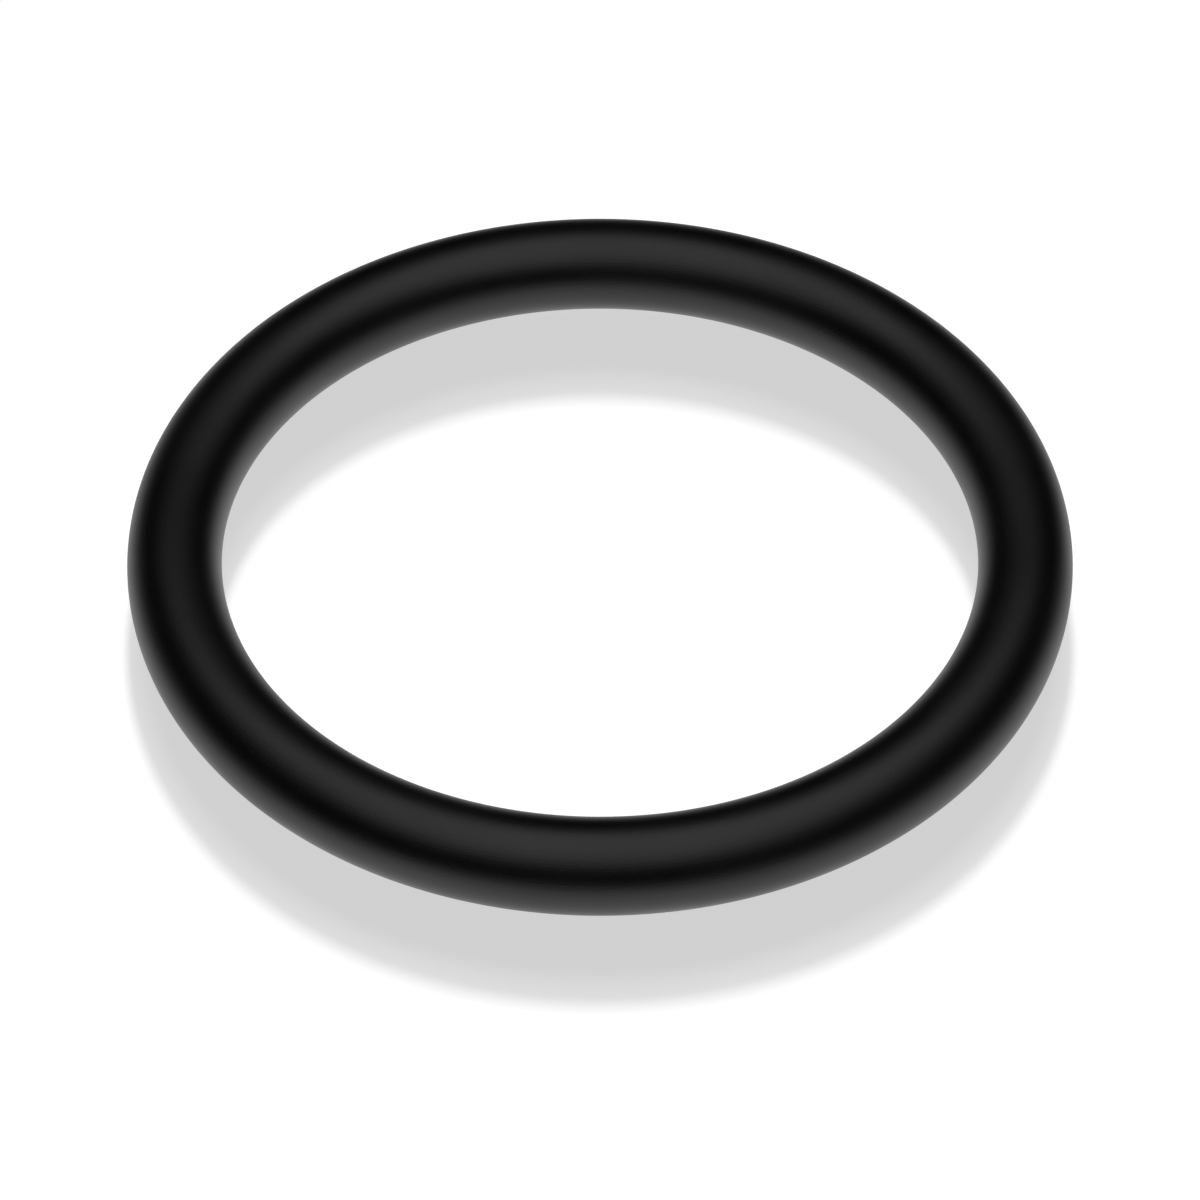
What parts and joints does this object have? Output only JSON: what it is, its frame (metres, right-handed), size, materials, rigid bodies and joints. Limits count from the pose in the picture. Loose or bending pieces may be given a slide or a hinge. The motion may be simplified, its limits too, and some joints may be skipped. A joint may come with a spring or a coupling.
{
  "type": "o-ring",
  "caption": "Black rubber o-ring of plain round section, a one-piece static or sliding seal for a shaft, bore or face groove.",
  "frame": {"origin": "centre of the ring, on its axis and half way up its section", "axes": "+Z along the axis of the ring, square to the plane it lies in; X and Y are any two directions in that plane, because the ring is a body of revolution"},
  "size_m": [0.0352, 0.0352, 0.0036],
  "materials": {
    "black_rubber": "smooth moulded satin"
  },
  "bodies": {
    "root": {"o_ring": "black_rubber"}
  },
  "joints": []
}
